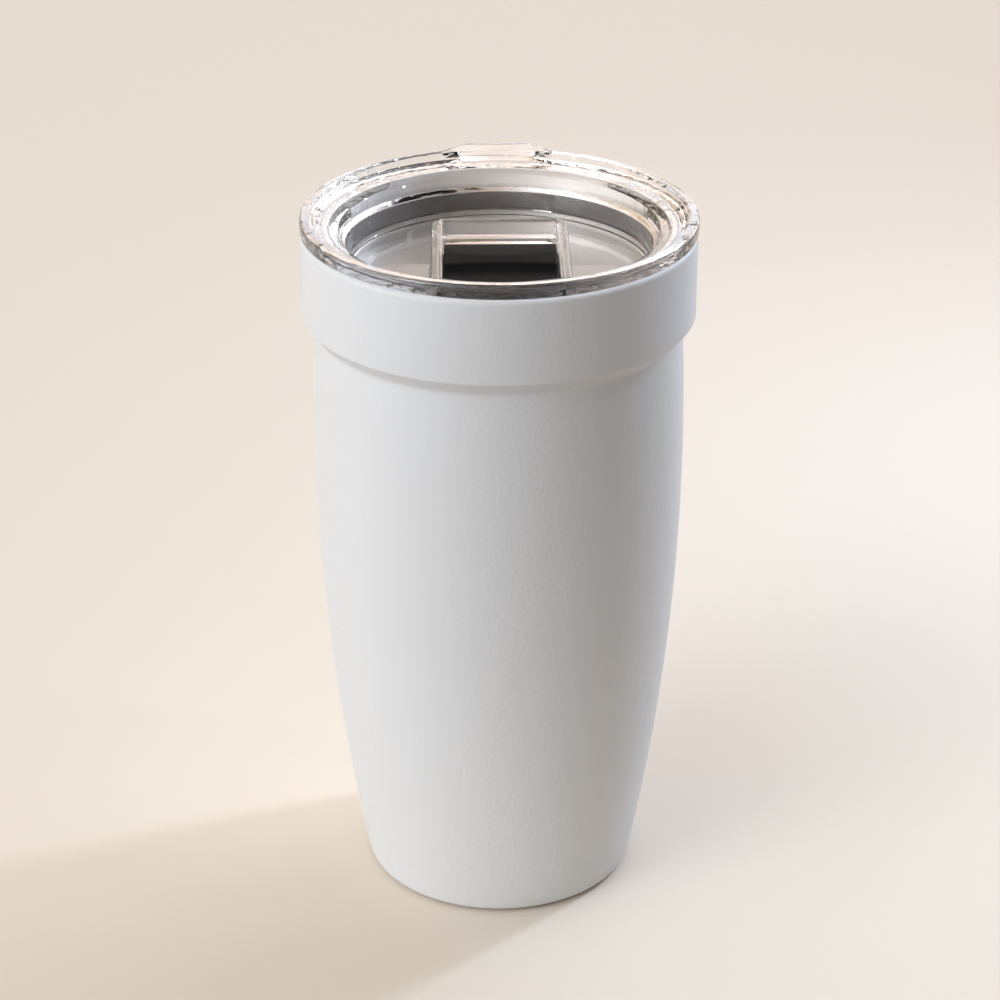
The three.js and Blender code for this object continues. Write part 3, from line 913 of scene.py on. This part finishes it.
def build_tumbler():
    """Every piece, with the body it rides on, the node it stands for and its material."""
    wall_steel = brushed_steel("brushed_steel", 3, 400, 9000)
    disc_steel = brushed_steel("brushed_steel_disc", 3, 9000, 400)
    finish_piece(outer_shell(), "cup", "outer_shell", powder_coat())
    finish_piece(inner_liner(), "cup", "inner_liner", wall_steel)
    finish_piece(liner_floor(), "cup", "liner_floor", disc_steel)
    finish_piece(foil_wrap(), "cup", "foil_wrap", crinkled_foil())
    finish_piece(vacuum_plate(), "cup", "vacuum_plate", disc_steel)
    finish_piece(vacuum_seal(), "cup", "vacuum_seal", fused_glass())
    finish_piece(getter(), "cup", "getter", pressed_powder())
    finish_piece(getter_clip(), "cup", "getter_clip", disc_steel)
    finish_piece(base_cover(), "cup", "base_cover", disc_steel)
    black_silicone = silicone("foot_silicone", (0.03, 0.03, 0.032), (0.045, 0.045, 0.048), 0.6)
    finish_piece(foot_pad(), "cup", "foot_pad", black_silicone)
    finish_piece(lid_body(), "lid", "lid_body", clear_plastic())
    grey_silicone = silicone("gasket_silicone", (0.105, 0.098, 0.09), (0.13, 0.122, 0.113), 0.5, 0.15)
    finish_piece(lid_gasket(), "gasket", "lid_gasket", grey_silicone)
    finish_piece(slider(), "slider", "slider", black_plastic())
    seal_silicone = silicone("seal_silicone", (0.02, 0.02, 0.021), (0.03, 0.03, 0.031), 0.6)
    finish_piece(slider_seal(), "slider", "slider_seal", seal_silicone)


# ---- Studio -----------------------------------------------------------------------------------------

LENS = 100
SENSOR_WIDTH = 36
SHIFT_X = 0.0007
CAMERA_DISTANCE = 0.6702
CAMERA_PITCH = 26.0
CAMERA_AZIMUTH = -0.9
LOOK_AT = Vector((0, 0, 0.09715))

LIT_POINT = Vector((0, 0, 0.085))
FLOOR_REACH = 3000
ROOM_GLOW = (  # light from each compass direction, 45 degrees apart from the left by way of the front
    (1.5, 1.4, 1.3), (3.0, 3.2, 3.35), (0.45, 0.25, 0.1), (0, 0, 0), (0, 0, 0),
    (2.8, 2.8, 2.9), (1.2, 1.05, 0.95), (0.65, 0.45, 0.25), (1.5, 1.4, 1.3),
)
ROOM_STRENGTH = 3.6
FADE_BY = 60  # degrees of height over which the room's glow falls by its whole strength, from 30 up


def direction(azimuth, elevation):
    """Unit vector towards a compass azimuth (0 along +X, 90 along +Y) and elevation, in degrees."""
    a, e = radians(azimuth), radians(elevation)
    return Vector((cos(a) * cos(e), sin(a) * cos(e), sin(e)))


def aim(thing, place, target):
    """Puts a camera or lamp in its place and points it at the target."""
    thing.location = place
    thing.rotation_euler = (target - place).to_track_quat("-Z", "Y").to_euler()


def make_camera():
    data = bpy.data.cameras.new("camera")
    data.lens = LENS
    data.sensor_width = SENSOR_WIDTH
    data.shift_x = SHIFT_X
    data.clip_start = 0.01
    camera = bpy.data.objects.new("camera", data)
    bpy.context.scene.collection.objects.link(camera)
    aim(camera, LOOK_AT + CAMERA_DISTANCE * direction(CAMERA_AZIMUTH - 90, CAMERA_PITCH), LOOK_AT)
    bpy.context.scene.camera = camera


def area_light(name, place, target, size, power, colour):
    """A round soft lamp, its size in metres and its power in watts."""
    data = bpy.data.lights.new(name, "AREA")
    data.shape = "DISK"
    data.size = size
    data.energy = power
    data.color = colour
    lamp = bpy.data.objects.new(name, data)
    bpy.context.scene.collection.objects.link(lamp)
    aim(lamp, place, target)
    return lamp


def make_world():
    """A soft room: broad glows from the front left and from behind on the right, dark on the right."""
    world = bpy.data.worlds.new("room")
    world.use_nodes = True
    tree = world.node_tree

    def math(operation, first, second):
        node = tree.nodes.new("ShaderNodeMath")
        node.operation = operation
        for socket, value in zip(node.inputs, (first, second)):
            if isinstance(value, (int, float)):
                socket.default_value = value
            else:
                tree.links.new(value, socket)
        return node.outputs[0]

    split = tree.nodes.new("ShaderNodeSeparateXYZ")
    tree.links.new(tree.nodes.new("ShaderNodeTexCoord").outputs["Generated"], split.inputs[0])
    x, y, z = split.outputs
    turn = math("ADD", math("DIVIDE", math("ARCTAN2", y, x), 2 * pi), 0.5)
    glow = tree.nodes.new("ShaderNodeValToRGB")
    stops = glow.color_ramp.elements
    for i, colour in enumerate(ROOM_GLOW):
        place = i / (len(ROOM_GLOW) - 1)
        stop = stops[0] if i == 0 else stops[-1] if place == 1 else stops.new(place)
        stop.position = place
        stop.color = (*(part / ROOM_STRENGTH for part in colour), 1)
    tree.links.new(turn, glow.inputs[0])
    tree.links.new(glow.outputs[0], tree.nodes["Background"].inputs["Color"])
    rise = math("ARCSINE", math("MINIMUM", z, 0.999), 0)
    fade = math("MINIMUM", math("SUBTRACT", 1.5, math("DIVIDE", rise, radians(FADE_BY))), 1)
    tree.links.new(math("MULTIPLY", fade, ROOM_STRENGTH), tree.nodes["Background"].inputs["Strength"])
    bpy.context.scene.world = world


def make_floor():
    size = FLOOR_REACH
    corners = [(-size, -size, 0), (size, -size, 0), (size, size, 0), (-size, size, 0)]
    floor = make_object("floor", corners, [(0, 1, 2, 3)])
    floor.data.materials.append(paper())


def make_studio():
    """Room, floor, three lamps and how light is traced through the clear lid."""
    make_world()
    make_floor()
    key_place = Vector((0.351, 0.2025, 0.35))
    glint_place = LIT_POINT + 1.2 * direction(-12, 35)
    window_place = LIT_POINT + 1.5 * direction(-145, 20)
    area_light("key", key_place, LIT_POINT, 0.05, 1.2, (0.53, 0.67, 0.86))
    area_light("glint", glint_place, LIT_POINT, 0.12, 0.5, (0.9, 0.95, 1.0))
    area_light("window", window_place, LIT_POINT, 0.7, 5, (0.97, 0.98, 1.0))
    scene = bpy.context.scene
    scene.view_settings.view_transform = "Standard"
    scene.cycles.use_denoising = True
    scene.cycles.max_bounces = 20
    scene.cycles.transmission_bounces = 20
    scene.cycles.glossy_bounces = 8
    scene.cycles.diffuse_bounces = 6
    scene.cycles.transparent_max_bounces = 40
    scene.cycles.caustics_refractive = True
    scene.cycles.caustics_reflective = False


make_camera()
build_tumbler()
make_studio()

bpy.context.view_layer.update()
